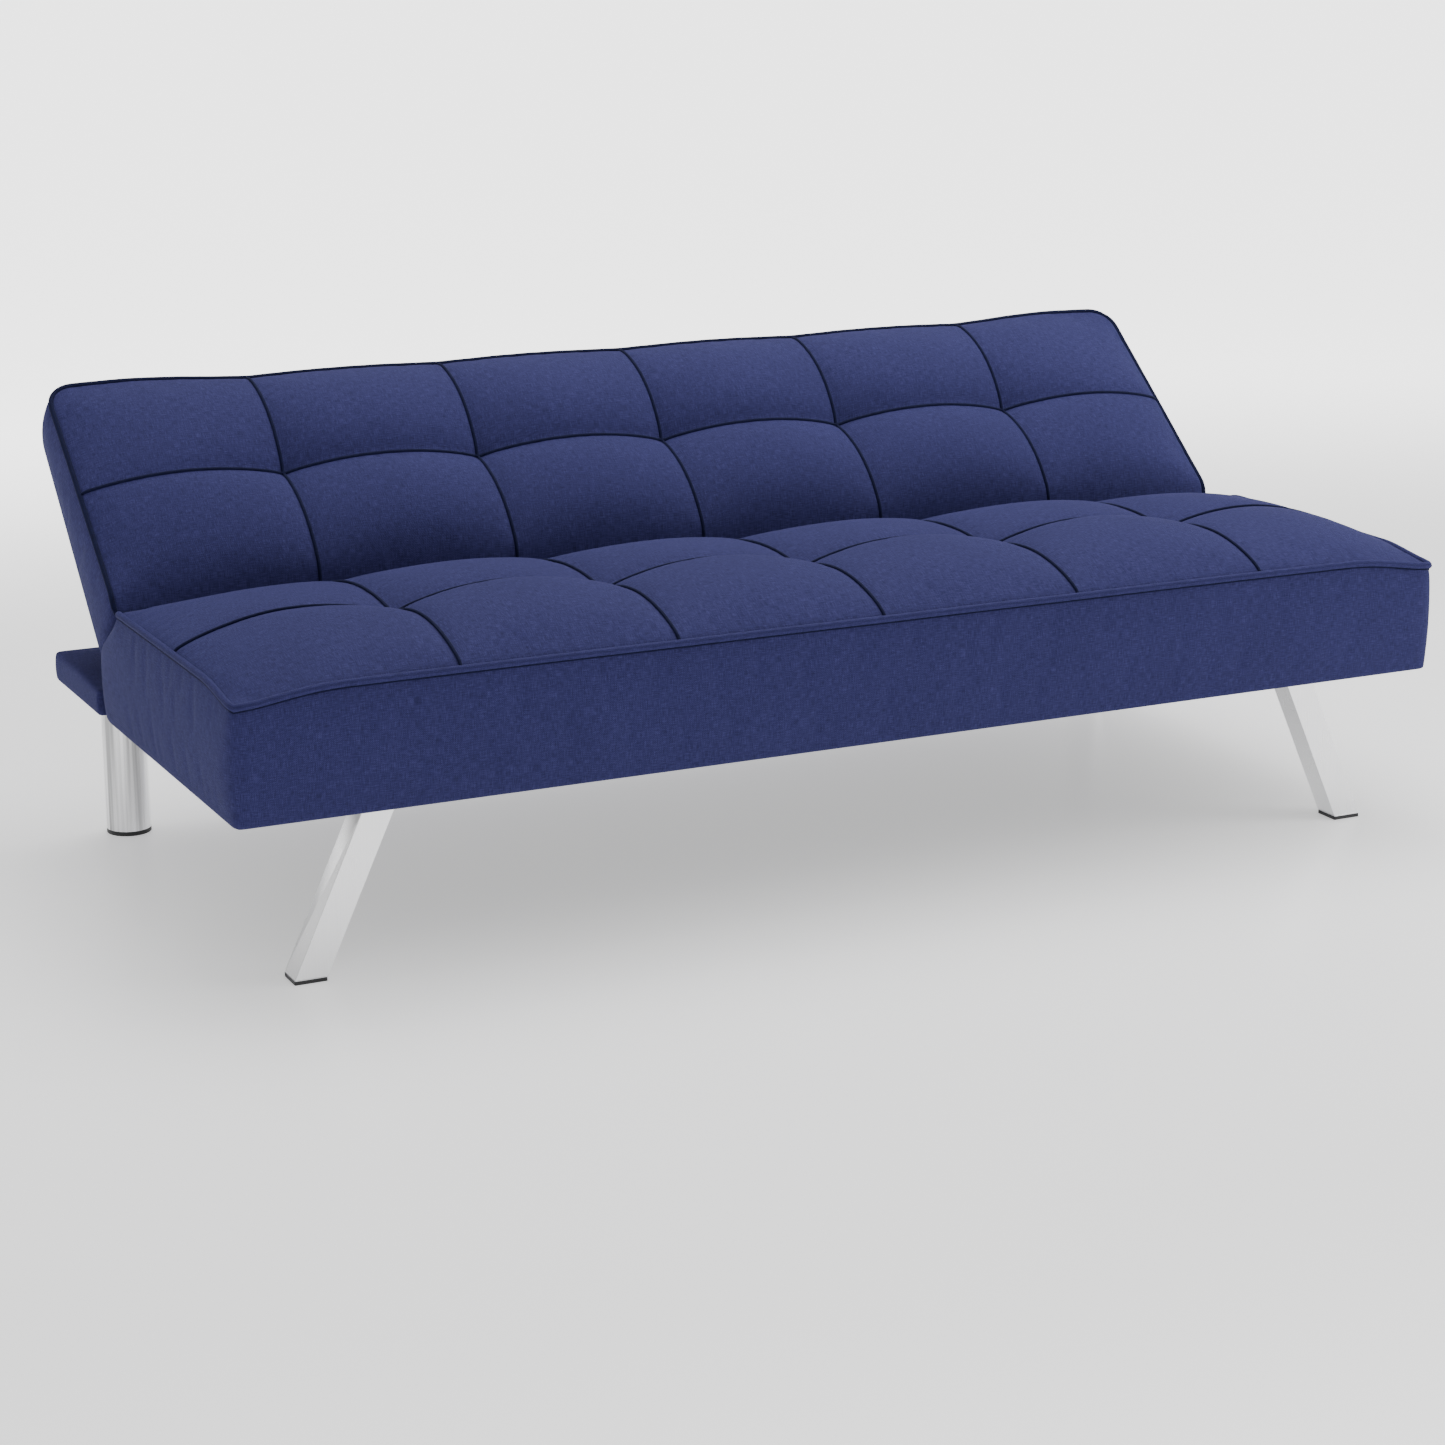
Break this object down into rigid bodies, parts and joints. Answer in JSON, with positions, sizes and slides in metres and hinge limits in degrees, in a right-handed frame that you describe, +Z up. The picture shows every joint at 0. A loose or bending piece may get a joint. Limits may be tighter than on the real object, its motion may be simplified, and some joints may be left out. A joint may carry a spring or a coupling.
{
  "type": "futon sofa bed",
  "caption": "Armless tufted sofa whose reclining back clicks between upright, lounge and flat bed positions, on splayed steel front legs and round rear legs.",
  "frame": {"origin": "on the floor, under the middle of the sofa's overall size in the lounge position", "axes": "+X along the seat towards the sitter's left hand, +Y to the rear, +Z up; the front faces -Y"},
  "size_m": [1.679, 0.8182, 0.5937],
  "materials": {
    "navy_fabric": "navy heathered linen-look weave",
    "dark_piping": "very dark navy piping",
    "foam": "open-cell foam",
    "dust_cloth": "black non-woven cloth",
    "hardboard": "smooth brown hardboard",
    "webbing": "woven elastic webbing",
    "timber": "planed pine",
    "spring_steel": "oiled spring wire",
    "black_plastic": "moulded black",
    "satin_steel": "satin nickel-coloured steel",
    "bright_steel": "brushed bright steel",
    "zinc_steel": "zinc-plated steel"
  },
  "bodies": {
    "seat": {"seat_front_rail": "timber", "seat_rear_rail": "timber", "seat_end_rail_left": "timber", "seat_end_rail_right": "timber", "seat_centre_rail": "timber", "seat_spring_1": "spring_steel", "seat_spring_2": "spring_steel", "seat_spring_3": "spring_steel", "seat_spring_4": "spring_steel", "seat_spring_5": "spring_steel", "seat_spring_6": "spring_steel", "spring_clips": "zinc_steel", "seat_foam": "foam", "seat_cover": "navy_fabric", "seat_welt": "dark_piping", "dust_cover": "dust_cloth", "platform_rear_rail": "timber", "platform_side_rail_left": "timber", "platform_side_rail_right": "timber", "platform_centre_rail": "timber", "platform_panel": "hardboard", "platform_cover": "navy_fabric", "front_leg_left": "satin_steel", "front_leg_right": "satin_steel", "front_leg_plate_left": "satin_steel", "front_leg_plate_right": "satin_steel", "front_foot_left": "black_plastic", "front_foot_right": "black_plastic", "rear_leg_left": "bright_steel", "rear_leg_right": "bright_steel", "rear_leg_plate_left": "bright_steel", "rear_leg_plate_right": "bright_steel", "rear_foot_left": "black_plastic", "rear_foot_right": "black_plastic", "leg_screws": "zinc_steel", "hinge_seat_plate_left": "zinc_steel", "hinge_seat_plate_right": "zinc_steel", "hinge_pins": "zinc_steel", "hinge_seat_bolts": "zinc_steel", "pawl_pins": "zinc_steel", "pawl_spring_left": "zinc_steel", "pawl_spring_right": "zinc_steel"},
    "back": {"back_bottom_rail": "timber", "back_top_rail": "timber", "back_end_stile_left": "timber", "back_end_stile_right": "timber", "back_centre_stile": "timber", "back_strap_1": "webbing", "back_strap_2": "webbing", "back_strap_3": "webbing", "back_strap_4": "webbing", "back_foam": "foam", "back_cover": "navy_fabric", "back_welt": "dark_piping", "hinge_arm_left": "zinc_steel", "hinge_arm_right": "zinc_steel", "hinge_arm_bolts": "zinc_steel"},
    "pawl_left_body": {"pawl_left": "zinc_steel"},
    "pawl_right_body": {"pawl_right": "zinc_steel"}
  },
  "joints": [
    {"name": "back_tilt", "type": "hinge", "parent": "seat", "child": "back", "pos_m": [0, 0.11593, 0.28], "axis": [1, 0, 0], "range_deg": [-39, 36]},
    {"name": "pawl_left_turn", "type": "hinge", "parent": "seat", "child": "pawl_left_body", "pos_m": [-0.792, 0.09454, 0.24667], "axis": [1, 0, 0], "range_deg": [-10, 0]},
    {"name": "pawl_right_turn", "type": "hinge", "parent": "seat", "child": "pawl_right_body", "pos_m": [0.792, 0.09454, 0.24667], "axis": [1, 0, 0], "range_deg": [-10, 0]}
  ],
  "couplings": [
    {"joint": "pawl_right_turn", "follows": "pawl_left_turn", "ratio": 1}
  ]
}
